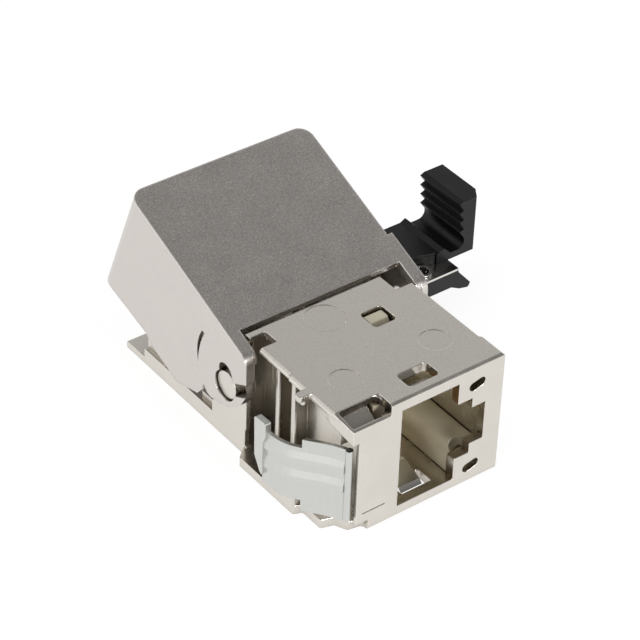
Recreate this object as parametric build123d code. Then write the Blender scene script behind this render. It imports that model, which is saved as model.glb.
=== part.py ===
# Shielded modular jack module for panel openings, with a hinged rear cover.
# Millimetres. X: from the latch side (-X) to the plug-tab side (+X).
# Y: from the port face (0) to the rear. Z: up, 0 at half the module's height.
# The origin is the middle of the plug opening in the port face.
# The module lies on its flat side, the rear cover stands open.
import os
from math import atan2, cos, hypot, radians, sin

from build123d import *

# Overall body
HEIGHT = 14.5
HALF = HEIGHT / 2
SKIN = 1.05
INSIDE = HALF - SKIN
FACE_RIGHT = 8.93
FACE_RIM = 3.0
BODY_RIGHT = 8.45
CORE_LEFT = -6.9
FACE_LEFT = -8.4
FACE_LIP = 0.4
FACE_STEP = -7.6
BODY_REAR = 16.4
BAY_LEFT = -5.6
BAY_RIGHT = 7.4
EDGE = 0.25

# Flat top over the latch bay, with its two rear notches
TOP_LEFT = -9.95
TOP_LIP = 0.55
LIP_STEP = 0.4
NOTCH_FRONT = 13.8
NOTCH_REAR = 15.7
LEFT_NOTCH = -7.9
RIGHT_NOTCH = 6.5
BAY_BACK = 15.7
BEAM_LOW = 0.75
TOP_CHAMFER = (0.35, 0.2)
BAY_RECESS = 1.2
SCOOP_RADIUS = 2.9

# Plug opening: width along X, height along Z
PORT_HALF_X = 3.45
PORT_HALF_Z = 5.92
TAB_STEP_X = 5.25
TAB_STEP_HALF_Z = 3.4
TAB_END_X = 6.9
TAB_END_HALF_Z = 2.25
FACE_WALL = 1.07
OVAL = (2.0, 1.0)
OVAL_SPOTS = ((5.7, 4.92), (5.6, -5.2))

# Sloped corner pocket at the latch side of the top
POCKET_RIGHT = -4.75
POCKET_REAR = 2.1
POCKET_LEFT = -9.15
POCKET_DROP = 1.35
POCKET_SINK = 1.0
POCKET_DEPTH = 3.4
POCKET_SLOT = (-6.0, -5.1)
RIM = 0.3

# Snap windows in the top and the bottom wall
SPRING_WINDOW = (-1.8, 1.85, 1.1, 3.3)
SNAP_WINDOW = (1.1, 3.75, 10.1, 12.7)
WINDOW_RADIUS = 0.45
SPRING_SPAN = (-1.5, 1.0)

# Fine marks of the casting: ejector rings, engraved line and the fixed foot
RING_MARKS = ((-6.1, 5.46, 1.6), (4.65, 5.4, 1.6), (-1.95, 14.1, 2.1))
RING_DEEP = 0.04
LINE_LEFT = -7.7
LINE_RIGHT = -4.87
LINE_LOW = -4.83
LINE_WIDE = 0.11
LINE_DEEP = 0.08
FOOT_OUT = 9.4
FOOT_FRONT = 5.4
FOOT_REAR = 7.4
FOOT_HALF_Z = 4.5

# Ribs in the latch bay: front, rear and outer end
RIBS = ((10.0, 10.9, -8.35), (12.6, 13.4, -8.4))
RIB_NOSE = 0.3

# Hinge of the rear cover
HINGE_Y = 17.5
HINGE_Z = 0.9
OPEN_ANGLE = 21.5
PIN_RADIUS = 1.5
PIN_PLAY = 0.05
PIN_RING = 0.16
RING_INSET = 0.55
EAR_RADIUS = 1.95
EAR_LEFT = -10.15
EAR_RIGHT = 9.85
EAR_THICK = 1.15
LEFT_EAR_REAR = 21.3
RIGHT_EAR_REAR = 20.6
SIDE_GAP = 0.2

# Rear cover, measured from the hinge with the cover closed
COVER_LEFT = EAR_LEFT - SIDE_GAP - 1.05
COVER_RIGHT = 10.2
LUG_WALL = 0.75
COVER_LUG_RIGHT = EAR_RIGHT + SIDE_GAP + LUG_WALL
COVER_WALL = 1.05
COVER_TOP = HALF - HINGE_Z - 0.05
COVER_PLATE = 0.95
COVER_FRONT = 1.95
COVER_REAR = 20.2
COVER_CORNER = 1.6
LUG_REAR = 5.2
LUG_LIP = 1.4
LUG_LIP_BACK = 0.15
CABLE_HOLE_RADIUS = 4.3
CABLE_X = 4.3

# Rear tray
TRAY_FLOOR = 1.2
TRAY_RIGHT = 9.0
TRAY_WALL = 0.9
TRAY_WALL_TOP = -5.4
TRAY_RIDGE_Y = 33.4
TRAY_REAR = HINGE_Y + COVER_REAR - COVER_PLATE - 0.15
TRAY_LEDGE = 0.75

# Cable clamp: a slide along X, drawn pulled out
CLAMP_FRONT = 22.6
CLAMP_REAR = 31.1
CLAMP_LOW = -4.4
CLAMP_TOP = -2.2
CLAMP_ENGAGED = 2.3
TONGUE = 1.2
TONGUE_HIGH = 0.7
SLIDE_PLAY = 0.12
RAIL_WALL = 0.9
TOOTH_PITCH = 1.2
TOOTH_DEEP = 0.6
TOOTH_HALF = 0.4
TEETH = 4
DECK_TOP = -0.85
DECK_FRONT = 25.4
JAW_LEFT = 20.75
JAW_FRONT = 24.4
JAW_FOOT = 0.65
JAW_TOP = DECK_TOP + JAW_FOOT + TEETH * TOOTH_PITCH
JAW_SET_BACK = 2.7
JAW_TIP = JAW_LEFT + JAW_SET_BACK
JAW_THICK = 3.05
JAW_BACK = JAW_TIP + JAW_THICK
JAW_LEAN = 0.065
JAW_CORNER = (1.0, 1.5)
JAW_SEAT = 1.6
CLAMP_RIGHT = JAW_LEFT + JAW_SEAT
DECK_LONG = 4.35
DECK_LEFT = JAW_LEFT - DECK_LONG
TAIL_ROOT = 0.85
TAIL_LEFT = CLAMP_RIGHT - TAIL_ROOT
TAIL_WIDE = 2.6
TAIL_RIGHT = TAIL_LEFT + TAIL_WIDE
TAIL_DROP = 0.9
TAIL_LOW = CLAMP_LOW - TAIL_DROP
TAIL_THICK = 0.9
PLATE_SHOWN = 1.9
PLATE_LEFT = DECK_LEFT - PLATE_SHOWN
PLATE_THICK = 0.28
PLATE_HOLE_INSET = (2.2, 0.3)
PLATE_HOLE = (DECK_LEFT + PLATE_HOLE_INSET[0], JAW_FRONT - PLATE_HOLE_INSET[1])
PLATE_HOLE_RADIUS = 0.75
TONGUE_GAP = 0.2
TONGUE_SHOWN = PLATE_LEFT - TONGUE_GAP
COLLAR = 0.28
COLLAR_HIGH = 0.3

# Fixed jaw; the shut clamp stops short of its teeth
ANVIL_LEFT = -1.2
ANVIL_RIGHT = 0.4
ANVIL_FIRST_TOOTH = 0.2
ANVIL_TIP = 0.75
ANVIL_TOP = ANVIL_FIRST_TOOTH + (TEETH - 1) * TOOTH_PITCH + TOOTH_HALF
JAWS_SHUT = 7.1
CLAMP_TRAVEL = JAW_TIP - ANVIL_TIP - JAWS_SHUT

# Latch lever at the -X side
LATCH_BARREL = (-8.95, 0.8)
LATCH_BARREL_RADIUS = 0.38
LATCH_THICK = 0.4
LATCH_PATH = ((-9.1, 1.05), (-9.7, 2.1), (-10.6, 3.3), (-11.5, 4.4), (-12.2, 5.35), (-12.65, 6.4),
              (-12.85, 7.5), (-12.95, 8.7))
LATCH_STEP = 4.4
LATCH_FRONT_HALF = (-5.5, 3.35)
LATCH_REAR_HALF = (-4.15, 2.35)
LATCH_BEADS = (0.35, -1.95)
BEAD_WIDE = 1.5
BEAD_HIGH = 0.22
SILL_LEFT = -9.15
SILL_LOW = 4.3

# Plug contacts
CONTACTS = 8
CONTACT_PITCH = 1.02
CONTACT_THICK = 0.3
CONTACT_WIDE = 0.46

# Lugs of the core on each side of the tab way, with an arched recess
LUG_LEFT = 3.75
LUG_HALF_Z = 3.45
LUG_ROUND = 1.1
ARCH_RADIUS = 1.35
ARCH_X = 5.5
ARCH_Y = 1.3

# Circuit board, wire contacts and wire manager
BOARD_FRONT = 12.95
BOARD_THICK = 1.2
BLOCK_THICK = 2.6
IDC_COLUMNS = (-3.9, -0.7, 2.5, 5.7)
IDC_ROWS = (-2.9, 1.6)
IDC_WIDE = 1.6
IDC_THICK = 0.4
IDC_LONG = 2.4
MANAGER_THICK = 3.0
FIT = 0.1

OUT = "parts"


def box(x0, x1, y0, y1, z0, z1):
    """A block between two corners."""
    size = (x1 - x0, y1 - y0, z1 - z0)
    middle = ((x0 + x1) / 2, (y0 + y1) / 2, (z0 + z1) / 2)
    return Pos(*middle) * Box(*size)


def outline(points):
    """A closed flat shape; a third number in a point rounds that corner."""
    face = make_face(Polyline(*[(p[0], p[1]) for p in points], close=True))
    for radius in sorted({p[2] for p in points if len(p) > 2}):
        spots = [p for p in points if len(p) > 2 and p[2] == radius]
        corners = []
        for vertex in face.vertices():
            if any(hypot(vertex.X - p[0], vertex.Y - p[1]) < 1e-5 for p in spots):
                corners.append(vertex)
        face = fillet(corners, radius)
    return face


def plan(points, z0, z1):
    """A shape drawn in X, Y and raised from z0 to z1."""
    return Pos(0, 0, z0) * extrude(outline(points), z1 - z0, dir=(0, 0, 1))


def side(points, x0, x1):
    """A shape drawn in Y, Z and drawn out from x0 to x1."""
    face = Plane.YZ * outline(points)
    return Pos(x0, 0, 0) * extrude(face, x1 - x0, dir=(1, 0, 0))


def front(points, y0, y1):
    """A shape drawn in X, Z and drawn out from y0 to y1."""
    face = Plane.XZ * outline(points)
    return Pos(0, y0, 0) * extrude(face, y1 - y0, dir=(0, 1, 0))


def rod_x(radius, x0, x1, y, z):
    """A round bar along X."""
    return Pos((x0 + x1) / 2, y, z) * Rot(0, 90, 0) * Cylinder(radius, x1 - x0)


def rod_z(radius, x, y, z0, z1):
    """A round bar along Z."""
    return Pos(x, y, (z0 + z1) / 2) * Cylinder(radius, z1 - z0)


def strip(path, thick):
    """The outline of a bent strip that follows a path of points."""
    left = []
    right = []
    for i, here in enumerate(path):
        before = path[max(i - 1, 0)]
        after = path[min(i + 1, len(path) - 1)]
        a = atan2(here[1] - before[1], here[0] - before[0]) if i else None
        b = atan2(after[1] - here[1], after[0] - here[0]) if i < len(path) - 1 else None
        a = b if a is None else a
        b = a if b is None else b
        half_turn = (b - a) / 2
        normal = a + half_turn + radians(90)
        reach = thick / 2 / cos(half_turn)
        left.append((here[0] + reach * cos(normal), here[1] + reach * sin(normal)))
        right.append((here[0] - reach * cos(normal), here[1] - reach * sin(normal)))
    return left + right[::-1]


def window(spot, z0, z1):
    """A rounded rectangular hole through a flat wall."""
    x0, x1, y0, y1 = spot
    r = WINDOW_RADIUS
    return plan([(x0, y0, r), (x1, y0, r), (x1, y1, r), (x0, y1, r)], z0, z1)


def top_outline(inset):
    """The flat top seen from above; the inset draws back its latch side."""
    left = TOP_LEFT + inset
    notch = LEFT_NOTCH + inset / 2
    tab = -11.3 + inset
    return [
        (POCKET_LEFT + inset, 0), (FACE_RIGHT, 0, 0.8), (FACE_RIGHT, FACE_RIM),
        (BODY_RIGHT, FACE_RIM + 0.4, 0.3),
        (BODY_RIGHT, NOTCH_FRONT), (RIGHT_NOTCH, NOTCH_FRONT, 0.25), (RIGHT_NOTCH, BODY_REAR),
        (left + 0.2, BODY_REAR), (left + 0.2, NOTCH_REAR), (notch, NOTCH_REAR, 0.2),
        (notch, NOTCH_FRONT, 0.2),
        (left, NOTCH_FRONT), (left, 9.1, 0.1), (left - 0.15, 8.9, 0.1), (left - 0.15, 6.6), (tab, 6.45, 0.3),
        (tab, 5.6, 0.3), (left - 0.15, 5.6), (left - 0.15, POCKET_REAR + 0.2, 0.7),
    ]


def top_plate():
    """The flat top: a thin lip at the latch side on a thicker plate."""
    lip = plan(top_outline(0), HALF - TOP_LIP, HALF)
    return lip + plan(top_outline(LIP_STEP), INSIDE, HALF - TOP_LIP / 2)


def bottom_plate():
    """The flat bottom under the latch bay, with a raised block under the latch."""
    points = [
        (-6.1, 0), (FACE_RIGHT, 0, 0.8), (FACE_RIGHT, FACE_RIM), (BODY_RIGHT, FACE_RIM + 0.4, 0.3),
        (BODY_RIGHT, BODY_REAR), (EAR_LEFT, BODY_REAR), (EAR_LEFT, 15.8), (-11.5, 14.7, 0.3),
        (-11.45, 5.9, 0.2),
        (-10.5, 5.6, 0.2), (-10.5, 2.8, 0.2), (-9.1, 2.4, 0.2), (-8.5, 1.1, 0.2), (-7.2, 0.9, 0.2),
    ]
    inner = CORE_LEFT + 0.1
    block = [(-11.48, 10.2), (-11.45, 5.9, 0.2), (-10.5, 5.9, 0.2), (inner, 7.0), (inner, 10.2)]
    return plan(points, -HALF, -INSIDE) + plan(block, -HALF, LATCH_REAR_HALF[0] - 0.5)


def latch_frame():
    """The post, sill and hollowed wall round the front end of the latch."""
    inner = CORE_LEFT + 0.1
    out = TOP_LEFT - 0.15
    rear = POCKET_REAR + 0.3
    end = rear + 0.6
    sill = side([(0, SILL_LOW), (rear, SILL_LOW + 1.6), (end, INSIDE), (end, HALF), (0, HALF)], out, inner)
    sill &= plan([(SILL_LEFT, 0), (inner, 0), (inner, end), (out, end), (out, rear, 0.7)], 0, HALF)
    foot = box(-7.3, inner, 0.9, 2.2, -HALF, LATCH_FRONT_HALF[0] - 0.3)
    strip_wall = box(FACE_LEFT, inner, 0, FACE_LIP, -5.9, HALF) + box(FACE_STEP, inner, 0, 1.0, -5.9, HALF)
    scoop = box(TOP_LEFT + LIP_STEP, inner, 1.5, 6.0, INSIDE - SCOOP_RADIUS + 0.3, INSIDE + 0.1)
    hollow = Rot(90, 0, 0) * Cylinder(SCOOP_RADIUS, 6)
    scoop -= Pos(inner - SCOOP_RADIUS, 4.6, INSIDE - SCOOP_RADIUS) * hollow
    return sill + foot + strip_wall + scoop


def side_ribs():
    """Upright round-nosed ribs in the latch bay."""
    inner = CORE_LEFT + 0.1
    ribs = None
    for y0, y1, out in RIBS:
        shape = [(inner, y0), (out, y0, RIB_NOSE), (out, y1, RIB_NOSE), (inner, y1)]
        rib = plan(shape, -HALF, HALF - TOP_LIP)
        ribs = rib if ribs is None else ribs + rib
    return ribs


def ear(x0, x1, rear):
    """One hinge ear: a round head on a sloping foot that ends on the floor."""
    head = rod_x(EAR_RADIUS, x0, x1, HINGE_Y, HINGE_Z)
    stem = box(x0, x1, HINGE_Y - EAR_RADIUS, HINGE_Y + EAR_RADIUS, -4, HINGE_Z)
    foot = side([(BAY_BACK, -HALF), (rear, -HALF), (rear, -4.0), (19.8, -2.4), (BAY_BACK, -1.2)], x0, x1)
    return head + stem + foot


def tray():
    """The thin rear floor with its low walls and the clamp rails."""
    floor_top = -HALF + TRAY_FLOOR
    body = box(EAR_LEFT, TRAY_RIGHT, BODY_REAR - 1, TRAY_RIDGE_Y, -HALF, floor_top)
    body += box(EAR_LEFT, TRAY_RIGHT, TRAY_RIDGE_Y - 0.1, TRAY_REAR, -HALF, -HALF + TRAY_LEDGE)
    body += box(EAR_LEFT, EAR_LEFT + TRAY_WALL, 21.0, TRAY_RIDGE_Y, -HALF, TRAY_WALL_TOP)
    body += box(TRAY_RIGHT - TRAY_WALL, TRAY_RIGHT, BODY_REAR - 1, TRAY_RIDGE_Y, -HALF, TRAY_WALL_TOP)
    body += box(EAR_LEFT, TRAY_RIGHT, TRAY_RIDGE_Y - 0.8, TRAY_RIDGE_Y, -HALF, TRAY_WALL_TOP)
    return body


def rail(y_wall, toward_rear):
    """One grooved rail of the clamp slide; the groove holds a tongue."""
    turn = 1 if toward_rear else -1
    low = CLAMP_LOW - SLIDE_PLAY
    lip = CLAMP_LOW + TONGUE_HIGH + SLIDE_PLAY
    base = y_wall
    deep = base + turn * (TONGUE + SLIDE_PLAY)
    outer = deep + turn * RAIL_WALL
    points = [
        (base - turn * 1.0, -HALF + 0.5), (base - turn * 1.0, low), (deep, low), (deep, lip),
        (base + turn * SLIDE_PLAY, lip), (base + turn * SLIDE_PLAY, lip + 0.8), (outer, lip + 0.8),
        (outer, -HALF + 0.5),
    ]
    return side(points, EAR_LEFT + 0.4, TRAY_RIGHT)


def anvil():
    """The fixed jaw that bridges the two rails."""
    reach = TONGUE + SLIDE_PLAY + RAIL_WALL
    y0 = CLAMP_FRONT - reach
    y1 = CLAMP_REAR + reach
    low = CLAMP_TOP + 0.3
    shape = [(ANVIL_LEFT, low), (ANVIL_RIGHT, low), (ANVIL_RIGHT, ANVIL_TOP, 0.4),
             (ANVIL_LEFT, ANVIL_TOP, 0.4)]
    wall = front(shape, y0, y1)
    for foot in (y0, y1 - RAIL_WALL):
        wall += box(ANVIL_LEFT, ANVIL_RIGHT, foot, foot + RAIL_WALL, low - 1.5, low + 1)
    root = ANVIL_RIGHT - 0.1
    for i in range(TEETH):
        z = ANVIL_FIRST_TOOTH + i * TOOTH_PITCH
        wall += front([(root, z - TOOTH_HALF), (ANVIL_TIP, z), (root, z + TOOTH_HALF)], JAW_FRONT, CLAMP_REAR)
    return wall


def port():
    """The plug opening with its two tab steps."""
    cut = box(-PORT_HALF_X, PORT_HALF_X, -1, FACE_WALL + 1, -PORT_HALF_Z, PORT_HALF_Z)
    cut += box(0, TAB_STEP_X, -1, FACE_WALL + 1, -TAB_STEP_HALF_Z, TAB_STEP_HALF_Z)
    cut += box(0, TAB_END_X, -1, FACE_WALL + 1, -TAB_END_HALF_Z, TAB_END_HALF_Z)
    return cut


def ovals(y0, y1):
    """The two slanted oval holes of the port face."""
    cut = None
    for x, z in OVAL_SPOTS:
        shape = Rot(0, 0, 14) * SlotOverall(*OVAL)
        hole = Pos(x, y0, z) * extrude(Plane.XZ * shape, y1 - y0, dir=(0, 1, 0))
        cut = hole if cut is None else cut + hole
    return cut


def corner_pocket():
    """The sloped corner at the latch side and the pocket sunk in it."""
    over = HALF + 1
    low = HALF - POCKET_DROP
    slope = side([(-1, low), (0, low), (POCKET_REAR, HALF), (POCKET_REAR, over), (-1, over)],
                 POCKET_LEFT - 2, POCKET_RIGHT)
    floor = HALF - POCKET_SINK
    low = floor - POCKET_DROP
    sunk = side([(-1, low), (0, low), (POCKET_REAR, floor), (POCKET_REAR, over), (-1, over)],
                POCKET_LEFT - 2, POCKET_RIGHT)
    sunk &= plan([(POCKET_LEFT + 0.15, RIM, 0.2), (POCKET_RIGHT, RIM), (POCKET_RIGHT, POCKET_REAR, 0.8),
                  (POCKET_LEFT - 0.45, POCKET_REAR, 0.3)], 0, over)
    x0, x1 = POCKET_SLOT
    slot = box(x0, x1, RIM + 0.5, POCKET_REAR + 0.3, HALF - POCKET_DEPTH, HALF - 0.6)
    return slope + sunk + slot


def edge_breaks():
    """Small slanted cuts along the long outer edges of the port block."""
    cut = None
    for turn in (1, -1):
        high = turn * HALF
        low = turn * (HALF - EDGE)
        over = turn * (HALF + 0.1)
        along = side([(-0.1, over), (EDGE + 0.1, over), (EDGE, high), (0, low), (-0.1, low)],
                     CORE_LEFT, FACE_RIGHT + 1)
        out = FACE_RIGHT + 0.1
        inner = FACE_RIGHT - EDGE
        along += front([(out, over), (inner - 0.1, over), (inner, high), (FACE_RIGHT, low), (out, low)],
                       -1, FACE_RIM + 0.2)
        cut = along if cut is None else cut + along
    wide, deep = TOP_CHAMFER
    out = TOP_LEFT - 0.15
    for x, y0, y1 in ((TOP_LEFT, 9.05, NOTCH_FRONT + 0.1), (out, 6.5, 8.95), (out, 2.0, 5.6)):
        cut += front([(x - 0.1, HALF + 0.1), (x + wide, HALF + 0.1), (x + wide, HALF), (x, HALF - deep),
                      (x - 0.1, HALF - deep)], y0, y1)
    return cut


def bay_back():
    """The wall behind the latch bay: a beam over a dark recess."""
    back = box(TOP_LEFT + 0.2, BAY_LEFT, BAY_BACK, BODY_REAR, -HALF, INSIDE)
    back += box(EAR_LEFT, BAY_LEFT, BODY_REAR - 0.1, BAY_BACK + BAY_RECESS + 0.8, -HALF, BEAM_LOW + 0.6)
    recess = front([(EAR_LEFT + 0.5, -INSIDE), (EAR_LEFT + 0.5, BEAM_LOW - 0.5, 0.3), (-8.6, BEAM_LOW, 0.6),
                    (CORE_LEFT, BEAM_LOW), (CORE_LEFT, -INSIDE)], BAY_BACK - 0.4, BAY_BACK + BAY_RECESS)
    return back, recess


def housing():
    """The cast body: port block, latch bay, hinge ears, tray and rails."""
    core = box(CORE_LEFT, BODY_RIGHT, 0, BODY_REAR, -HALF, HALF)
    core += box(0, FACE_RIGHT, 0, FACE_RIM, -HALF, HALF)
    body = core + top_plate() + bottom_plate() + latch_frame() + side_ribs()
    body += ear(EAR_LEFT, EAR_LEFT + EAR_THICK, LEFT_EAR_REAR)
    body += ear(EAR_RIGHT - EAR_THICK, EAR_RIGHT, RIGHT_EAR_REAR)
    body += tray()
    back, recess = bay_back()
    body += back
    body += box(BAY_RIGHT, EAR_RIGHT, BAY_BACK, BODY_REAR, -HALF, -1)
    body -= recess
    body -= box(RIGHT_NOTCH, BODY_RIGHT + 0.1, NOTCH_FRONT, BODY_REAR + 0.1, -1, HALF + 1)
    body -= box(BAY_LEFT, BAY_RIGHT, FACE_WALL, BODY_REAR + 1, -INSIDE, INSIDE)
    body -= port()
    body -= corner_pocket()
    body -= edge_breaks()
    for z0, z1 in ((INSIDE - 0.5, HALF + 1), (-HALF - 1, -INSIDE + 0.5)):
        body -= window(SPRING_WINDOW, z0, z1)
        body -= window(SNAP_WINDOW, z0, z1)
    body -= ovals(0, FACE_WALL + 0.1)
    body -= box(LINE_LEFT, LINE_RIGHT, -0.1, LINE_DEEP, LINE_LOW, LINE_LOW + LINE_WIDE)
    body += rail(CLAMP_FRONT, False) + rail(CLAMP_REAR, True) + anvil()
    notch = TAIL_LEFT - CLAMP_TRAVEL - 0.4
    body -= box(notch, TRAY_RIGHT + 1, CLAMP_FRONT - SLIDE_PLAY, CLAMP_FRONT + TAIL_THICK + 0.2,
                TAIL_LOW - 0.3, -1)
    for x0, x1 in ((COVER_LEFT + 0.3, EAR_LEFT + 0.1), (EAR_RIGHT - 0.1, COVER_LUG_RIGHT - 0.3)):
        body += rod_x(PIN_RADIUS, x0, x1, HINGE_Y, HINGE_Z)
    body -= rod_z(LATCH_BARREL_RADIUS + 0.12, *LATCH_BARREL, *LATCH_FRONT_HALF)
    for x, y, r in RING_MARKS:
        body -= rod_z(r, x, y, HALF - RING_DEEP, HALF + 1)
    body += box(BODY_RIGHT - 0.1, FOOT_OUT, FOOT_FRONT, FOOT_REAR, -FOOT_HALF_Z, FOOT_HALF_Z)
    return body


def cover_side():
    """The side wall of the closed cover, from the hinge axis."""
    return [
        (COVER_FRONT, COVER_TOP), (COVER_REAR, COVER_TOP), (COVER_REAR, -7.9), (11.9, -7.1), (10.7, -7.6),
        (5.9, -7.6), (2.86, -5.4), (2.42, -3.96), (2.8, -3.05, 0.2), (1.76, -3.6), (1.1, -3.6, 0.5),
        (-1.45, -1.8, 1.2), (-2.7, 0.3, 1.2), (-3.0, 2.3, 0.3), (-2.25, 3.9, 0.6), (-1.3, COVER_TOP, 1.5),
    ]


def lug_lip():
    """The rounded end of the plate that wraps down inside the hook."""
    back = LUG_LIP_BACK
    low = COVER_TOP - LUG_LIP
    return [
        (2.4, COVER_TOP), (-1.3 + back, COVER_TOP, 1.0), (-1.85 + back, low, 0.4), (-0.85, low, 0.2),
        (-0.6, COVER_TOP - COVER_PLATE, 0.1), (2.4, COVER_TOP - COVER_PLATE),
    ]


def clamp_port():
    """The opening in the cover's right wall that lets the clamp pass."""
    low = -9.5
    high = JAW_TOP - HINGE_Z + 0.5
    slide_top = CLAMP_TOP - HINGE_Z + 1.1
    rail_top = CLAMP_LOW + TONGUE_HIGH - HINGE_Z + 1.2
    jaw_front = JAW_FRONT - HINGE_Y - 0.5
    jaw_rear = CLAMP_REAR - HINGE_Y + 0.8
    rail_rear = CLAMP_REAR + TONGUE - HINGE_Y + 1.2
    points = [(2.0, low), (2.0, slide_top - 1.6), (3.0, slide_top), (jaw_front, slide_top), (jaw_front, high),
              (jaw_rear, high), (jaw_rear, rail_top), (rail_rear, rail_top), (rail_rear, low)]
    return side(points, COVER_RIGHT - COVER_WALL - 0.3, COVER_RIGHT + 1)


def rear_cover():
    """The cast cover, drawn closed and then turned open about its hinge."""
    left = side(cover_side(), COVER_LEFT, COVER_LEFT + COVER_WALL)
    lug = side(cover_side(), COVER_LUG_RIGHT - LUG_WALL, COVER_LUG_RIGHT)
    lug -= box(COVER_RIGHT - 5, COVER_RIGHT + 5, LUG_REAR, COVER_REAR + 1, -20, 20)
    right = side(cover_side(), COVER_RIGHT - COVER_WALL, COVER_RIGHT)
    right -= box(COVER_RIGHT - 5, COVER_RIGHT + 5, -5, LUG_REAR - 0.3, -20, 20)
    web = box(COVER_RIGHT - COVER_WALL, COVER_LUG_RIGHT, LUG_REAR - 1.0, LUG_REAR, -3.0, COVER_TOP)
    r = COVER_CORNER
    plate = plan([(COVER_LEFT, COVER_FRONT), (COVER_RIGHT, COVER_FRONT), (COVER_RIGHT, COVER_REAR, r),
                  (COVER_LEFT, COVER_REAR, r)], COVER_TOP - COVER_PLATE, COVER_TOP)
    plate += box(COVER_RIGHT - 1, COVER_LUG_RIGHT, COVER_FRONT, LUG_REAR, COVER_TOP - COVER_PLATE, COVER_TOP)
    plate += side(lug_lip(), COVER_LEFT + COVER_WALL - 0.1, COVER_LEFT + LUG_LIP)
    plate += side(lug_lip(), COVER_LUG_RIGHT - LUG_LIP, COVER_LUG_RIGHT - LUG_WALL + 0.1)
    rear = box(COVER_LEFT, COVER_RIGHT, COVER_REAR - COVER_PLATE, COVER_REAR, -7.9, COVER_TOP)
    keep = plan([(COVER_LEFT, -10), (COVER_LUG_RIGHT, -10), (COVER_LUG_RIGHT, LUG_REAR),
                 (COVER_RIGHT, LUG_REAR),
                 (COVER_RIGHT, COVER_REAR, r), (COVER_LEFT, COVER_REAR, r)], -10, 10)
    body = (left + right + lug + web + plate + rear) & keep
    body -= clamp_port()
    mouth_z = -HINGE_Z + 0.6
    body -= Pos(CABLE_X, COVER_REAR, mouth_z) * Rot(90, 0, 0) * Cylinder(CABLE_HOLE_RADIUS, 6)
    body -= box(CABLE_X - CABLE_HOLE_RADIUS, CABLE_X + CABLE_HOLE_RADIUS, COVER_REAR - 3, COVER_REAR + 1,
                -20, mouth_z)
    body -= hinge_bores()
    body = Rot(OPEN_ANGLE, 0, 0) * body
    return Pos(0, HINGE_Y, HINGE_Z) * body


def hinge_bores():
    """Snap hooks: a running bore, a wider ring outside it and a mouth."""
    cut = None
    for x0, x1, ring0, ring1 in (
        (COVER_LEFT - 1, COVER_LEFT + 2, COVER_LEFT - 1, COVER_LEFT + RING_INSET),
        (COVER_LUG_RIGHT - 2, COVER_LUG_RIGHT + 1, COVER_LUG_RIGHT - RING_INSET, COVER_LUG_RIGHT + 1),
    ):
        tool = rod_x(PIN_RADIUS + PIN_PLAY, x0, x1, 0, 0)
        tool += rod_x(PIN_RADIUS + PIN_RING, ring0, ring1, 0, 0)
        tool += side([(0.3, 0.35), (-2.95, 4.15), (-4.05, 3.21), (-0.8, -0.59)], x0, x1)
        tool += rod_x(1.15, x0, x1, 0.5, 1.6) + side([(-0.6, 0), (-0.4, 2.0), (1.5, 1.2), (1.4, 0)], x0, x1)
        cut = tool if cut is None else cut + tool
    crescent = rod_x(5.38, COVER_LEFT - 1, COVER_LEFT + 0.5, -0.12, 1.66)
    crescent -= rod_x(8.83, COVER_LEFT - 2, COVER_LEFT + 1, -4.06, 1.58)
    crescent &= box(COVER_LEFT - 1, COVER_LEFT + 1, 1.0, 9, -3.0, 2.75)
    return cut + crescent


def latch_section(low, high):
    """The upright section of the bent sheet, with a soft bead above each line."""
    inner = -LATCH_THICK / 2
    outer = LATCH_THICK / 2
    points = [(inner, low), (outer, low)]
    for z in sorted(LATCH_BEADS):
        points += [(outer, z), (outer + BEAD_HIGH, z + 0.12), (outer + BEAD_HIGH * 0.8, z + BEAD_WIDE * 0.5),
                   (outer, z + BEAD_WIDE)]
    points += [(outer, high), (inner, high)]
    return points


def bent_sheet(path, low, high):
    """A sheet that follows a smooth curve seen from above."""
    line = Spline(*[(x, y, 0) for x, y in path])
    start = line @ 0
    along = line % 0
    plane = Plane(origin=start, x_dir=(-along.Y, along.X, 0), z_dir=along)
    turn = 1 if plane.y_dir.Z > 0 else -1
    section = plane * outline([(p[0], turn * p[1]) for p in latch_section(low, high)])
    return sweep(section, path=line)


def latch_lever():
    """The spring lever of bent sheet that snaps behind the panel."""
    x, y = LATCH_BARREL
    low, high = LATCH_FRONT_HALF
    lever = bent_sheet(LATCH_PATH, low, high)
    for z0, z1 in ((low - 1, LATCH_REAR_HALF[0]), (LATCH_REAR_HALF[1], high + 1)):
        lever -= box(2 * LATCH_PATH[-1][0], 0, LATCH_STEP, 2 * LATCH_PATH[-1][1], z0, z1)
    lever += rod_z(LATCH_BARREL_RADIUS, x, y, low + 0.1, high - 0.1)
    flange = [(7.9, 3.6, 0.2), (7.9, 2.0), (8.3, 1.0), (8.3, -3.1, 0.15), (8.75, -2.7, 0.15),
              (9.6, -1.2, 0.3),
              (9.7, 3.5, 0.3)]
    lever += side(flange, -13.45, -12.8)
    return lever


def lean(x, z):
    """The place of a point of the jaw, which leans in towards its top."""
    return (x + JAW_LEAN * (JAW_TOP - z), z)


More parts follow.
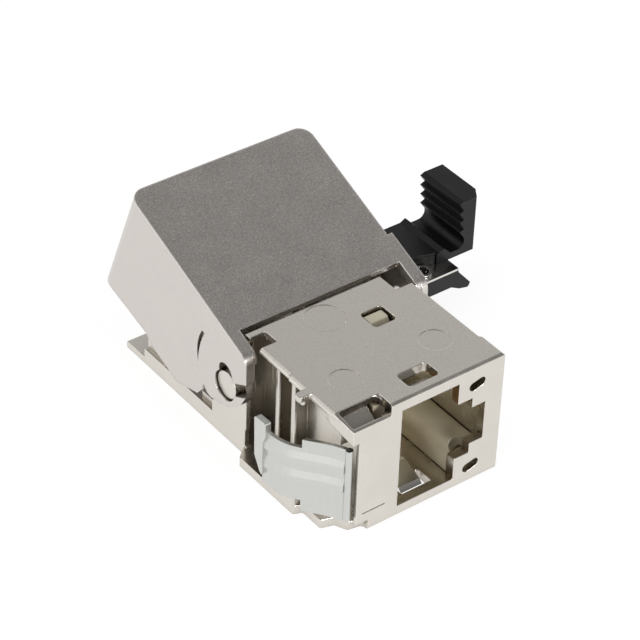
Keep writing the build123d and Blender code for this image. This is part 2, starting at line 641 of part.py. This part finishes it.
def jaw_profile():
    """The toothed upright of the clamp and its foot, in X and Z."""
    points = [(JAW_LEFT, CLAMP_TOP), (*lean(JAW_BACK, CLAMP_TOP), 0.9), lean(JAW_BACK, JAW_TOP)]
    points.append(lean(JAW_TIP + TOOTH_DEEP, JAW_TOP))
    z = JAW_TOP - 0.25
    for _ in range(TEETH):
        points.append(lean(JAW_TIP, z))
        points.append(lean(JAW_TIP + TOOTH_DEEP, z - 0.8 * TOOTH_PITCH))
        z -= TOOTH_PITCH
    root = DECK_TOP - 0.55
    ridge = JAW_LEFT + 1.0
    points += [(*lean(JAW_TIP + 0.65, root), 0.85), (ridge + 0.85, root, 0.2), (ridge, DECK_TOP + 0.37, 0.15),
               (ridge - 0.65, DECK_TOP, 0.15), (JAW_LEFT, DECK_TOP)]
    return points


def clamp_plate_outline(grow):
    """The shield plate seen from above, or its seat when grown."""
    right = CLAMP_RIGHT + grow
    rear = JAW_FRONT - 0.1 + grow
    return [(PLATE_LEFT - grow, CLAMP_FRONT - 2 * grow), (right, CLAMP_FRONT - 2 * grow), (right, rear),
            (JAW_LEFT + 0.6, rear), (DECK_LEFT + 2, DECK_FRONT - 0.1 + grow),
            (PLATE_LEFT - grow, DECK_FRONT - 0.1 + grow)]


def cable_clamp():
    """The black slide with its tongues and toothed jaw."""
    left = TRAY_RIGHT - CLAMP_ENGAGED
    tongue = CLAMP_LOW + TONGUE_HIGH
    slide = box(left, CLAMP_RIGHT, CLAMP_FRONT, CLAMP_REAR, CLAMP_LOW, CLAMP_TOP)
    slide += box(left, CLAMP_RIGHT, CLAMP_REAR - 0.1, CLAMP_REAR + TONGUE, CLAMP_LOW, tongue)
    slide += box(left, TONGUE_SHOWN, CLAMP_FRONT - TONGUE, CLAMP_FRONT + 0.1, CLAMP_LOW, tongue)
    slide -= plan(clamp_plate_outline(0.05), CLAMP_TOP - PLATE_THICK, CLAMP_TOP + 1)
    deck = [(DECK_LEFT, DECK_FRONT + 0.2), (DECK_LEFT + 2, DECK_FRONT), (JAW_LEFT + 0.9, JAW_FRONT),
            (JAW_LEFT + 0.9, CLAMP_REAR), (DECK_LEFT, CLAMP_REAR)]
    slide += plan(deck, CLAMP_TOP, DECK_TOP)
    jaw = front(jaw_profile(), JAW_FRONT, CLAMP_REAR)
    wide, long = JAW_CORNER
    corner = [(0.5, -1), (0.5, long), (0, long), (-wide, 0), (-wide, -1)]
    back = JAW_BACK + JAW_LEAN * (JAW_TOP - CLAMP_TOP) / 2
    jaw -= plan([(back + x, JAW_FRONT + y) for x, y in corner], CLAMP_LOW, JAW_TOP + 1)
    seat = box(JAW_LEFT, CLAMP_RIGHT, JAW_FRONT + 0.3, CLAMP_REAR, CLAMP_TOP - 0.3, CLAMP_TOP + 0.2)
    tail = [(TAIL_LEFT - 1, CLAMP_TOP - 0.5), (CLAMP_RIGHT, CLAMP_TOP - 0.5),
            (TAIL_RIGHT, TAIL_LOW + 0.55, 0.25), (TAIL_RIGHT - 0.25, TAIL_LOW, 0.25),
            (TAIL_LEFT + 1.1, TAIL_LOW + 0.3, 0.6), (TAIL_LEFT, CLAMP_LOW, 0.4),
            (TAIL_LEFT - 1, CLAMP_LOW)]
    return slide + jaw + seat + front(tail, CLAMP_FRONT, CLAMP_FRONT + TAIL_THICK)


def clamp_shield_plate():
    """The metal plate on the slide, with a raised eyelet."""
    top = CLAMP_TOP - 0.02
    plate = plan(clamp_plate_outline(0), CLAMP_TOP - PLATE_THICK, top)
    plate += rod_z(PLATE_HOLE_RADIUS + COLLAR, *PLATE_HOLE, top - 0.1, top + COLLAR_HIGH)
    plate -= rod_z(PLATE_HOLE_RADIUS, *PLATE_HOLE, CLAMP_TOP - 1, CLAMP_TOP + 1)
    return plate


def contact_insert():
    """The ivory plastic core that carries the plug contacts."""
    rear = BOARD_FRONT - 0.05
    high = INSIDE - FIT
    core = box(BAY_LEFT + FIT, BAY_RIGHT - FIT, rear - 1.2, rear, -high, high)
    core += box(BAY_LEFT + FIT, -3.8, 1.9, rear, -high, high)
    for turn in (1, -1):
        low = LUG_HALF_Z
        shape = [(LUG_LEFT, turn * high), (LUG_LEFT, turn * low, LUG_ROUND), (BAY_RIGHT - FIT, turn * low),
                 (BAY_RIGHT - FIT, turn * high)]
        post = front(shape, 1.5, rear)
        ends = sorted((turn * (low - 1), turn * (low + 1.9)))
        core += post - rod_z(ARCH_RADIUS, ARCH_X, ARCH_Y, *ends)
        x0, x1, y0, y1 = SNAP_WINDOW
        lug = side([(y0 + 0.3, turn * (high - 0.3)), (y1 - 0.2, turn * (high - 0.3)),
                    (y1 - 0.2, turn * (high + 0.9), 0.3),
                    (y0 + 1.2, turn * (high + 0.9), 0.3)], x0 + 0.25, x1 - 0.25)
        arm = box(x0 + 0.25, x1 - 0.25, y0 + 0.3, rear, min(turn * (high - 0.9), turn * high),
                  max(turn * (high - 0.9), turn * high))
        core += lug + arm
    core -= box(-4.6, -3.2, rear - 2.5, rear + 1, -4.4, 4.4)
    return core - ovals(1, 3.2)


def plug_contact(index):
    """One sprung contact of the port."""
    z = (index - (CONTACTS + 1) / 2) * CONTACT_PITCH
    path = [(-3.6, BOARD_FRONT - 0.03), (-3.6, 3.3), (-3.35, 2.75), (-2.9, 2.75), (-2.6, 3.2),
            (-1.3, 8.4), (-1.5, 9.3)]
    half = CONTACT_WIDE / 2
    return plan(strip(path, CONTACT_THICK), z - half, z + half)


def circuit_board():
    """The upright board between the port core and the wire block."""
    high = INSIDE - FIT
    return box(BAY_LEFT + FIT, BAY_RIGHT - FIT, BOARD_FRONT, BOARD_FRONT + BOARD_THICK, -high, high)


def idc_seat():
    """Where the wire contacts leave the block."""
    return BOARD_FRONT + BOARD_THICK + BLOCK_THICK


def idc_block():
    """The plastic block that holds the wire contacts."""
    y0 = BOARD_FRONT + BOARD_THICK + 0.02
    body = box(BAY_LEFT + 0.2, BAY_RIGHT - 0.2, y0, idc_seat(), -INSIDE + 0.2, 4.4)
    for x in IDC_COLUMNS:
        for z in IDC_ROWS:
            body -= box(x - IDC_WIDE / 2 - 0.05, x + IDC_WIDE / 2 + 0.05, y0 + 0.6, idc_seat() + 1,
                        z - IDC_THICK / 2 - 0.05, z + IDC_THICK / 2 + 0.05)
    return body


def idc_contact(index):
    """One forked wire contact."""
    x = IDC_COLUMNS[(index - 1) % len(IDC_COLUMNS)]
    z = IDC_ROWS[(index - 1) // len(IDC_COLUMNS)]
    y0 = BOARD_FRONT + BOARD_THICK + 0.7
    y1 = idc_seat() + IDC_LONG
    half = IDC_WIDE / 2
    root = idc_seat() + 0.3
    points = [(x - half, y0), (x + half, y0), (x + half, y1 - 0.4), (x + 0.45, y1), (x + 0.12, y1 - 0.9),
              (x + 0.12, root), (x - 0.12, root), (x - 0.12, y1 - 0.9), (x - 0.45, y1), (x - half, y1 - 0.4)]
    return plan(points, z - IDC_THICK / 2, z + IDC_THICK / 2)


def wire_manager():
    """The comb that presses the eight wires into their contacts."""
    y0 = idc_seat() + FIT
    body = box(BAY_LEFT + 0.2, BAY_RIGHT - 0.2, y0, y0 + MANAGER_THICK, -INSIDE + 0.2, 4.0)
    for x in IDC_COLUMNS:
        for z in IDC_ROWS:
            body -= box(x - IDC_WIDE / 2 - 0.15, x + IDC_WIDE / 2 + 0.15, y0 - 1, y0 + IDC_LONG + 0.2,
                        z - IDC_THICK / 2 - 0.15, z + IDC_THICK / 2 + 0.15)
            body -= rod_z(0.6, x, y0 + 1.2, z, z + 1.6)
            body -= box(x - 0.6, x + 0.6, y0 + 1.2, y0 + MANAGER_THICK + 1, z + 0.3, z + 1.6)
    return body


def shield_spring(turn):
    """A bent spring tongue behind a port window; turn is 1 above, -1 below."""
    path = [(1.75, INSIDE + 0.35), (2.15, INSIDE - 0.05), (4.4, INSIDE - 0.95), (6.6, INSIDE - 0.5),
            (7.6, INSIDE - 0.13),
            (11.2, INSIDE - 0.13)]
    points = [(y, turn * z) for y, z in strip(path, 0.2)]
    return side(points, *SPRING_SPAN)


def build():
    """Every named piece of the module."""
    pieces = {
        "housing": housing(),
        "rear_cover": rear_cover(),
        "latch_lever": latch_lever(),
        "cable_clamp": cable_clamp(),
        "clamp_shield_plate": clamp_shield_plate(),
        "contact_insert": contact_insert(),
        "circuit_board": circuit_board(),
        "idc_block": idc_block(),
        "wire_manager": wire_manager(),
        "upper_shield_spring": shield_spring(1),
        "lower_shield_spring": shield_spring(-1),
    }
    for i in range(1, CONTACTS + 1):
        pieces[f"plug_contact_{i}"] = plug_contact(i)
        pieces[f"idc_contact_{i}"] = idc_contact(i)
    return pieces


def write(pieces):
    """Save each piece as its own STEP file."""
    os.makedirs(OUT, exist_ok=True)
    for name, shape in pieces.items():
        solids = shape.solids()
        export_step(solids[0] if len(solids) == 1 else shape, f"{OUT}/{name}.step")
        print(name, len(solids), round(shape.volume, 2))


if __name__ == "__main__":
    write(build())
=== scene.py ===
"""Looks of a shielded modular jack module: finishes, floor, light and camera.

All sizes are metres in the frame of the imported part: +X to the plug tab side,
+Y into the port, +Z up, the origin in the middle of the plug opening.
"""
import math

import bpy
from mathutils import Matrix, Vector


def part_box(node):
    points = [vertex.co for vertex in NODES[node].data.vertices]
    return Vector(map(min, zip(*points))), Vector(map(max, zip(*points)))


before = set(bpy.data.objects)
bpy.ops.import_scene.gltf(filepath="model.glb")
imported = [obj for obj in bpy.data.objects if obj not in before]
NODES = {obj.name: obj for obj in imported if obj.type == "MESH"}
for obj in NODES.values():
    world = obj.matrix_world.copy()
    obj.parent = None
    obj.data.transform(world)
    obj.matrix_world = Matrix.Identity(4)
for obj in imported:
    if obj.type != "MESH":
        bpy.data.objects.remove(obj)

bl_info = {
    "name": "Modular jack module",
    "version": (1, 0, 0),
    "blender": (4, 5, 0),
    "location": "View3D > Sidebar > Jack module",
    "description": "Finishes and stage for a shielded modular jack module",
    "category": "Object",
}

MM = 0.001

# Light levels of the studio: (height of the sky, brightness), and where along Y the front sky gives way
# to the rear one; the floor glows and takes a share of the light
REAR_SKY = ((0.0, 0.85), (0.3, 0.8), (0.61, 0.62), (0.87, 0.36), (1.0, 0.28))
FRONT_SKY = ((0.0, 0.5), (0.35, 0.3), (0.62, 0.14), (0.87, 0.26), (1.0, 0.28))
SKY_CHANGE = (-0.45, 0.35)
FLOOR_GLOW = 0.86
FLOOR_DIFFUSE = 0.25

# Soft lights, in metres and watts: place, the spot they point at, side and power
LEFT_LIGHT = ((-0.5, 0.15), (0, 0.01, 0), 0.9, 1.5)
PORT_LIGHT = ((0.06, -0.5, 0.14), (0, 0.005, 0), 0.2, 2.0)
LATCH_LIGHT = ((-0.42, -0.2, 0.05), (0, 0.005, 0), 0.2, 0.4)

# Camera of the product picture: azimuth, elevation and roll in degrees, place, and lens
PICTURE_ANGLES = (-38.0677, 37.6944, 2.0986)
PICTURE_PLACE = Vector((-127.105, -144.911, 163.346)) * MM
SENSOR_WIDTH = 36.0
FOCAL_PIXELS = 2650.01
PICTURE_PIXELS = 640

# How much of each colour shows deep in a recess, where shade is painted: of the plate and of plastic. A
# recess is felt within the node over the long reach, and between nodes over the short one
PLATE_PAINTED_SHADE = (0.44, 0.41, 0.36)
DEEP_SHADE = (0.42, 0.36, 0.29)
LONG_REACH = 3.0 * MM
SHORT_REACH = 2.0 * MM
SHORT_RANGE = (0.05, 0.55)
RECESS_RANGE = (0.2, 0.85)

# Cosine of the turn of a rounded edge: where it starts and where it counts as the edge itself
EDGE_RANGE = (0.995, 0.86)
RAY_SAMPLES = 6

# Nickel plate: widths of its soft clouds, rough patches and pebbles, and how strongly they show
CLOUD_WIDE = 3.0 * MM
PATCH_WIDE = 0.2 * MM
PEBBLE_WIDE = 0.16 * MM
CLOUD_DIM = 0.97
PATCH_SHARE = 0.2
# Painted highlight along the rounded edges: its share and brightness, and how much smoother the edges are
EDGE_HIGHLIGHT_SHARE = 0.55
EDGE_HIGHLIGHT_BRIGHT = 1.35
WORN_SMOOTH = 0.12

# Specks are painted glints: they show on faces whose normal points up in the node's own frame, and hardly on
# the others
UP_RANGE = (0.5, 0.9)
SIDE_SHARE = 0.15

# Castings: roughness, strength of the painted glints and width of the rounded edges
BODY_SKIN = (0.25, 0.2, 0.16 * MM)
COVER_SKIN = (0.30, 0.75, 0.28 * MM)

# Plastics: shade of the faint clouds, roughness, width of the rounded edges and specular level
CLAMP_SKIN = (0.8, 0.45, 0.12 * MM, 0.3)
CORE_SKIN = (0.9, 0.4, 0.1 * MM, 0.5)
MANAGER_SKIN = (0.95, 0.42, 0.1 * MM, 0.5)

# Rolled metals: roughness, and how the grain is stretched along the strip
LATCH_ROLL = (0.33, (0.4, 0.4, 0.05))
STEEL_ROLL = (0.2, (1, 0.08, 1))
GOLD_ROLL = (0.18, (1, 0.08, 1))
TIN_ROLL = (0.3, (1, 0.1, 1))

# Width of the board's copper areas, and the numbers of the contacts in a row
COPPER_WIDE = 1.6 * MM
CONTACTS = range(1, 9)


# Colour and shader helpers

def linear(code):
    """A colour code such as D8D4CE as linear light."""
    values = [int(code[i:i + 2], 16) / 255 for i in (0, 2, 4)]
    return [v / 12.92 if v <= 0.04045 else ((v + 0.055) / 1.055) ** 2.4 for v in values]


def add(tree, kind, settings=None, **inputs):
    """Add a shader node; an input is a value or the output of another node."""
    node = tree.nodes.new("ShaderNode" + kind)
    for name, value in (settings or {}).items():
        setattr(node, name, value)
    for name, value in inputs.items():
        key = name.replace("_", " ")
        socket = node.inputs[key] if key in node.inputs else node.inputs[int(name.strip("i"))]
        if isinstance(value, bpy.types.NodeSocket):
            tree.links.new(value, socket)
        else:
            socket.default_value = value
    return node


def new_finish(name):
    """An empty material with its surface shader and object coordinates."""
    material = bpy.data.materials.new(name)
    material.use_nodes = True
    tree = material.node_tree
    tree.nodes.clear()
    shader = add(tree, "BsdfPrincipled")
    output = add(tree, "OutputMaterial")
    tree.links.new(shader.outputs["BSDF"], output.inputs["Surface"])
    place = add(tree, "TexCoord").outputs["Object"]
    return material, tree, shader, place


def grain(tree, place, size, detail=2.0, rough=0.5):
    """Soft random grain whose spots are about size metres wide."""
    noise = add(tree, "TexNoise", Vector=place, Scale=1 / size, Detail=detail, Roughness=rough)
    return noise.outputs["Fac"]


def ramp(tree, value, low, high, to_low=0.0, to_high=1.0):
    """Map a value from one range to another."""
    node = add(tree, "MapRange", Value=value, From_Min=low, From_Max=high, To_Min=to_low, To_Max=to_high)
    return node.outputs["Result"]


def blend(tree, share, first, second):
    """Mix two colours by a share."""
    node = add(tree, "Mix", {"data_type": "RGBA"}, Factor=share)
    for index, colour in ((6, first), (7, second)):
        if isinstance(colour, bpy.types.NodeSocket):
            tree.links.new(colour, node.inputs[index])
        else:
            node.inputs[index].default_value = (*colour, 1)
    return node.outputs[2]


def edge_share(tree, round_normal):
    """How close a spot is to an edge, from the rounded and the flat normal."""
    flat = add(tree, "NewGeometry").outputs["Normal"]
    dot = add(tree, "VectorMath", {"operation": "DOT_PRODUCT"}, i0=round_normal, i1=flat)
    return ramp(tree, dot.outputs["Value"], *EDGE_RANGE)


def relief(tree, height, strength, depth, under):
    """Bump from a height, over a rounded normal."""
    bump = add(tree, "Bump", Strength=strength, Distance=depth, Height=height, Normal=under)
    return bump.outputs["Normal"]


def rounded(tree, radius):
    """A normal that rounds every edge a little, as casting and moulding do."""
    return add(tree, "Bevel", {"samples": RAY_SAMPLES}, Radius=radius).outputs["Normal"]


def recess(tree):
    """How open a spot is, from 0 deep in a corner to 1 on an open face; it sets where shade is painted."""
    deep = add(tree, "AmbientOcclusion", {"samples": RAY_SAMPLES, "only_local": True}, Distance=LONG_REACH)
    close = add(tree, "AmbientOcclusion", {"samples": RAY_SAMPLES}, Distance=SHORT_REACH)
    near = ramp(tree, close.outputs["AO"], *SHORT_RANGE)
    least = add(tree, "Math", {"operation": "MINIMUM"}, i0=deep.outputs["AO"], i1=near)
    return ramp(tree, least.outputs[0], *RECESS_RANGE)


# Finishes

def cast_nickel(name, tone, glint_colour, roughness, glint_strength, radius):
    """Satin nickel plate on a zinc casting: a fine pebbled, mottled skin with painted glints on faces that
    point up, painted highlights along the rounded edges, which are also smoother, and painted shade in
    recesses.
    """
    material, tree, shader, place = new_finish(name)
    soft = rounded(tree, radius)
    edge = edge_share(tree, soft)
    cloud = grain(tree, place, CLOUD_WIDE, 3.0)
    pebble = grain(tree, place, PEBBLE_WIDE, 3.0, 0.6)
    base = blend(tree, ramp(tree, cloud, 0.35, 0.65), [c * CLOUD_DIM for c in tone], tone)
    facing = add(tree, "SeparateXYZ", Vector=add(tree, "TexCoord").outputs["Normal"]).outputs["Z"]
    lit = ramp(tree, facing, *UP_RANGE, SIDE_SHARE, 1.0)
    patch = grain(tree, place, PATCH_WIDE, 2.0, 0.6)
    faint = glint_strength * PATCH_SHARE
    # Painted glints: lighter specks, with darker ones among them, shown mostly on faces that point up
    for share, shade in ((ramp(tree, patch, 0.5, 0.36, 0.0, faint), (0.0, 0.0, 0.0)),
                         (ramp(tree, patch, 0.5, 0.64, 0.0, faint), glint_colour),
                         (ramp(tree, pebble, 0.56, 0.68, 0.0, glint_strength), glint_colour)):
        spots = add(tree, "Math", {"operation": "MULTIPLY"}, i0=share, i1=lit).outputs[0]
        base = blend(tree, spots, base, shade)
    # Painted highlight: the colour is lighter along the rounded edges
    edge_highlight = [min(c * EDGE_HIGHLIGHT_BRIGHT, 0.95) for c in tone]
    base = blend(tree, ramp(tree, edge, 0.0, 1.0, 0.0, EDGE_HIGHLIGHT_SHARE), base, edge_highlight)
    # Painted shade: the plate turns a darker, warmer grey deep in recesses
    base = blend(tree, recess(tree), [c * t for c, t in zip(tone, PLATE_PAINTED_SHADE)], base)
    tree.links.new(base, shader.inputs["Base Color"])
    shader.inputs["Metallic"].default_value = 1.0
    rough = add(tree, "Math", {"operation": "ADD"}, i0=ramp(tree, cloud, 0.3, 0.7, -0.04, 0.05),
                i1=ramp(tree, edge, 0.0, 1.0, roughness, roughness - WORN_SMOOTH)).outputs[0]
    tree.links.new(rough, shader.inputs["Roughness"])
    skin = relief(tree, pebble, 0.35, 0.012 * MM, soft)
    tree.links.new(skin, shader.inputs["Normal"])
    return material


def moulded(name, tone, dim, roughness, radius, specular):
    """Moulded plastic: faint clouding, a fine matt skin and softly rounded edges."""
    material, tree, shader, place = new_finish(name)
    soft = rounded(tree, radius)
    cloud = grain(tree, place, 1.8 * MM, 3.0)
    skin = grain(tree, place, 0.07 * MM, 2.0)
    base = blend(tree, ramp(tree, cloud, 0.35, 0.7), tone, [c * dim for c in tone])
    # Painted shade: the plastic turns darker and warmer deep in recesses
    base = blend(tree, recess(tree), [c * t for c, t in zip(tone, DEEP_SHADE)], base)
    tree.links.new(base, shader.inputs["Base Color"])
    rough = ramp(tree, cloud, 0.3, 0.7, roughness - 0.05, roughness + 0.06)
    tree.links.new(rough, shader.inputs["Roughness"])
    shader.inputs["Specular IOR Level"].default_value = specular
    tree.links.new(relief(tree, skin, 0.25, 0.01 * MM, soft), shader.inputs["Normal"])
    return material


def bright_metal(name, tone, roughness, stretch):
    """Rolled spring metal: fine lines along the strip and a soft mirror shine."""
    material, tree, shader, place = new_finish(name)
    soft = rounded(tree, 0.05 * MM)
    lines = add(tree, "Mapping", Vector=place, Scale=stretch).outputs["Vector"]
    streak = grain(tree, lines, 0.12 * MM, 2.0)
    tree.links.new(blend(tree, streak, tone, [c * 0.94 for c in tone]), shader.inputs["Base Color"])
    shader.inputs["Metallic"].default_value = 1.0
    rough = ramp(tree, streak, 0.3, 0.7, roughness - 0.03, roughness + 0.03)
    tree.links.new(rough, shader.inputs["Roughness"])
    tree.links.new(relief(tree, streak, 0.08, 0.003 * MM, soft), shader.inputs["Normal"])
    return material


def board_finish(name, mask, copper):
    """Solder mask over copper areas: darker and lighter green with a soft gloss."""
    material, tree, shader, place = new_finish(name)
    squares = {"feature": "F1", "distance": "CHEBYCHEV"}
    cells = add(tree, "TexVoronoi", squares, Vector=place, Scale=1 / COPPER_WIDE)
    far = cells.outputs["Distance"]
    tree.links.new(blend(tree, ramp(tree, far, 0.3, 0.34), copper, mask), shader.inputs["Base Color"])
    shader.inputs["Roughness"].default_value = 0.35
    skin = relief(tree, far, 0.2, 0.02 * MM, rounded(tree, 0.06 * MM))
    tree.links.new(skin, shader.inputs["Normal"])
    return material


def dress(material, *names):
    """Give CAD nodes a finish in their own material slots."""
    for name in names:
        data = NODES[name].data
        if not data.materials:
            data.materials.append(material)
        for index in range(len(data.materials)):
            data.materials[index] = material


# What a user may change

def colour(name, text, code):
    """A colour property with its default from a code."""
    return bpy.props.FloatVectorProperty(name=name, description=text, default=linear(code), subtype="COLOR",
                                         min=0, max=1, size=3)


class JackColours(bpy.types.PropertyGroup):
    """Colours of the finishes."""

    casting: colour("Casting", "Nickel plate on the body", "D5D0C8")
    cover: colour("Cover", "Nickel plate on the rear cover", "CFC9C4")
    # Colour of the painted glints on up-facing faces of the cast skin
    glint_colour: colour("Specks", "Bright specks in the cast skin", "FFFBF2")
    latch: colour("Latch", "Satin spring steel of the latch lever", "CCCDC9")
    clamp: colour("Clamp", "Black plastic of the cable clamp", "0B0B0C")
    core: colour("Core", "Ivory plastic of the port core", "D6CFB8")
    manager: colour("Wire manager", "White plastic of the wire manager", "E4E2DA")
    steel: colour("Spring steel", "Shield springs and clamp plate", "E3E0DA")
    gold: colour("Gold", "Plug contacts", "D9A94E")
    tin: colour("Tin", "Wire contacts", "C9C6BE")
    mask: colour("Board", "Solder mask of the board", "1E5A33")
    floor: colour("Floor", "The pale floor", "FFFFFF")


class JackSizes(bpy.types.PropertyGroup):
    """Sizes of the stage."""

    floor_size: bpy.props.FloatProperty(name="Floor size", description="Side of the square floor",
                                        default=3.0, min=0.5, unit="LENGTH")
    light_height: bpy.props.FloatProperty(name="Light height", description="Height of the soft lights",
                                          default=0.45, min=0.1, unit="LENGTH")


def colours():
    """The colour settings of the scene."""
    return bpy.context.scene.jack_colours


def sizes():
    """The size settings of the scene."""
    return bpy.context.scene.jack_sizes


# Operators

class JACK_OT_casting(bpy.types.Operator):
    """Finish the cast body and the cast rear cover"""

    bl_idname = "jack.casting"
    bl_label = "Cast metal"

    def execute(self, context):
        c = colours()
        dress(cast_nickel("satin_nickel_casting", list(c.casting), list(c.glint_colour), *BODY_SKIN), "housing")
        dress(cast_nickel("satin_nickel_cover", list(c.cover), list(c.glint_colour), *COVER_SKIN), "rear_cover")
        return {"FINISHED"}


class JACK_OT_plastics(bpy.types.Operator):
    """Finish the plastic pieces"""

    bl_idname = "jack.plastics"
    bl_label = "Plastics"

    def execute(self, context):
        c = colours()
        dress(moulded("black_clamp_plastic", list(c.clamp), *CLAMP_SKIN), "cable_clamp")
        dress(moulded("ivory_core_plastic", list(c.core), *CORE_SKIN), "contact_insert", "idc_block")
        dress(moulded("white_manager_plastic", list(c.manager), *MANAGER_SKIN), "wire_manager")
        dress(board_finish("board_solder_mask", list(c.mask), [v * 0.6 for v in c.mask]), "circuit_board")
        return {"FINISHED"}


class JACK_OT_springs(bpy.types.Operator):
    """Finish the springs and contacts"""

    bl_idname = "jack.springs"
    bl_label = "Springs and contacts"

    def execute(self, context):
        c = colours()
        dress(bright_metal("satin_latch_steel", list(c.latch), *LATCH_ROLL), "latch_lever")
        steel = bright_metal("rolled_spring_steel", list(c.steel), *STEEL_ROLL)
        dress(steel, "upper_shield_spring", "lower_shield_spring", "clamp_shield_plate")
        gold = bright_metal("gold_plated_contact", list(c.gold), *GOLD_ROLL)
        dress(gold, *[f"plug_contact_{i}" for i in CONTACTS])
        tin = bright_metal("tinned_bronze", list(c.tin), *TIN_ROLL)
        dress(tin, *[f"idc_contact_{i}" for i in CONTACTS])
        return {"FINISHED"}


class JACK_OT_stage(bpy.types.Operator):
    """Make the floor, the soft light and the camera"""

    bl_idname = "jack.stage"
    bl_label = "Stage"

    def execute(self, context):
        make_floor()
        make_world()
        make_lights()
        make_camera()
        context.scene.view_settings.view_transform = "Standard"
        return {"FINISHED"}


def make_floor():
    """A plain pale floor under the module, lit like a light table so that hardly a shadow falls on it."""
    low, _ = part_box("housing")
    bpy.ops.object.select_all(action="DESELECT")
    bpy.ops.mesh.primitive_plane_add(size=sizes().floor_size, location=(0, 0, low.z))
    floor = bpy.context.object
    floor.name = "floor"
    material, tree, shader, place = new_finish("pale_floor")
    cloud = grain(tree, place, 0.4, 2.0)
    tone = list(colours().floor)
    pale = blend(tree, cloud, tone, [v * 0.99 for v in tone])
    tree.links.new(blend(tree, FLOOR_DIFFUSE, (0, 0, 0), pale), shader.inputs["Base Color"])
    tree.links.new(pale, shader.inputs["Emission Color"])
    shader.inputs["Emission Strength"].default_value = FLOOR_GLOW
    shader.inputs["Roughness"].default_value = 0.9
    shader.inputs["Specular IOR Level"].default_value = 0.1
    floor.data.materials.append(material)


def sky_ramp(tree, height, levels):
    """A grey that follows the height of the sky, from a list of heights and levels."""
    glow = add(tree, "ValToRGB", Fac=height)
    stops = glow.color_ramp.elements
    first, last = levels[0], levels[-1]
    stops[0].position, stops[0].color = first[0], (first[1],) * 3 + (1,)
    stops[1].position, stops[1].color = last[0], (last[1],) * 3 + (1,)
    for spot, level in levels[1:-1]:
        stops.new(spot).color = (level, level, level, 1)
    return glow.outputs["Color"]


def make_world():
    """A studio with a white horizon behind, a dim ceiling and a dark wall high in front."""
    world = bpy.data.worlds.new("studio")
    bpy.context.scene.world = world
    world.use_nodes = True
    tree = world.node_tree
    tree.nodes.clear()
    way = add(tree, "TexCoord").outputs["Generated"]
    parts = add(tree, "SeparateXYZ", Vector=way)
    rear = sky_ramp(tree, parts.outputs["Z"], REAR_SKY)
    front = sky_ramp(tree, parts.outputs["Z"], FRONT_SKY)
    share = ramp(tree, parts.outputs["Y"], *SKY_CHANGE)
    colour = blend(tree, share, front, rear)
    back = add(tree, "Background", Color=colour, Strength=1.0)
    output = add(tree, "OutputWorld")
    tree.links.new(back.outputs["Background"], output.inputs["Surface"])


def soft_light(name, place, aim, side, power):
    """A square soft light that points at a spot."""
    data = bpy.data.lights.new(name, "AREA")
    data.shape = "SQUARE"
    data.size = side
    data.energy = power
    lamp = bpy.data.objects.new(name, data)
    bpy.context.scene.collection.objects.link(lamp)
    lamp.location = place
    lamp.rotation_mode = "QUATERNION"
    lamp.rotation_quaternion = (Vector(aim) - Vector(place)).to_track_quat("-Z", "Y")


def make_lights():
    """A large light at the upper left, a low one that reaches into the port, and a faint one on the latch."""
    spot, aim, side, power = LEFT_LIGHT
    soft_light("left_light", (*spot, sizes().light_height), aim, side, power)
    soft_light("port_light", *PORT_LIGHT)
    soft_light("latch_light", *LATCH_LIGHT)


def make_camera():
    """The camera at the viewing angle of the product picture."""
    azimuth, elevation, roll = (math.radians(v) for v in PICTURE_ANGLES)
    back = Vector((math.sin(azimuth) * math.cos(elevation), -math.cos(azimuth) * math.cos(elevation),
                   math.sin(elevation)))
    right = Vector((math.cos(azimuth), math.sin(azimuth), 0))
    up = back.cross(right)
    across = right * math.cos(roll) + up * math.sin(roll)
    upward = up * math.cos(roll) - right * math.sin(roll)
    data = bpy.data.cameras.new("picture_camera")
    data.sensor_width = SENSOR_WIDTH
    data.lens = SENSOR_WIDTH * FOCAL_PIXELS / PICTURE_PIXELS
    data.clip_start = 0.01
    data.clip_end = 20
    camera = bpy.data.objects.new("picture_camera", data)
    bpy.context.scene.collection.objects.link(camera)
    turn = Matrix((across, upward, back)).transposed().to_4x4()
    camera.matrix_world = Matrix.Translation(PICTURE_PLACE) @ turn
    bpy.context.scene.camera = camera


# Panel and registration

OPERATORS = (JACK_OT_casting, JACK_OT_plastics, JACK_OT_springs, JACK_OT_stage)


class JACK_PT_panel(bpy.types.Panel):
    """Steps and settings of the jack module"""

    bl_idname = "JACK_PT_panel"
    bl_label = "Jack module"
    bl_space_type = "VIEW_3D"
    bl_region_type = "UI"
    bl_category = "Jack module"

    def draw(self, context):
        for operator in OPERATORS:
            self.layout.operator(operator.bl_idname)
        for group in (context.scene.jack_colours, context.scene.jack_sizes):
            for name in group.__annotations__:
                self.layout.prop(group, name)


CLASSES = (JackColours, JackSizes, *OPERATORS, JACK_PT_panel)


def register():
    """Add the classes and settings."""
    for item in CLASSES:
        bpy.utils.register_class(item)
    bpy.types.Scene.jack_colours = bpy.props.PointerProperty(type=JackColours)
    bpy.types.Scene.jack_sizes = bpy.props.PointerProperty(type=JackSizes)


def unregister():
    """Remove the settings and classes."""
    del bpy.types.Scene.jack_sizes
    del bpy.types.Scene.jack_colours
    for item in reversed(CLASSES):
        bpy.utils.unregister_class(item)


def main():
    """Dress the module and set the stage."""
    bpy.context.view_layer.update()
    register()
    bpy.ops.jack.casting()
    bpy.ops.jack.plastics()
    bpy.ops.jack.springs()
    bpy.ops.jack.stage()


if __name__ == "__main__":
    main()
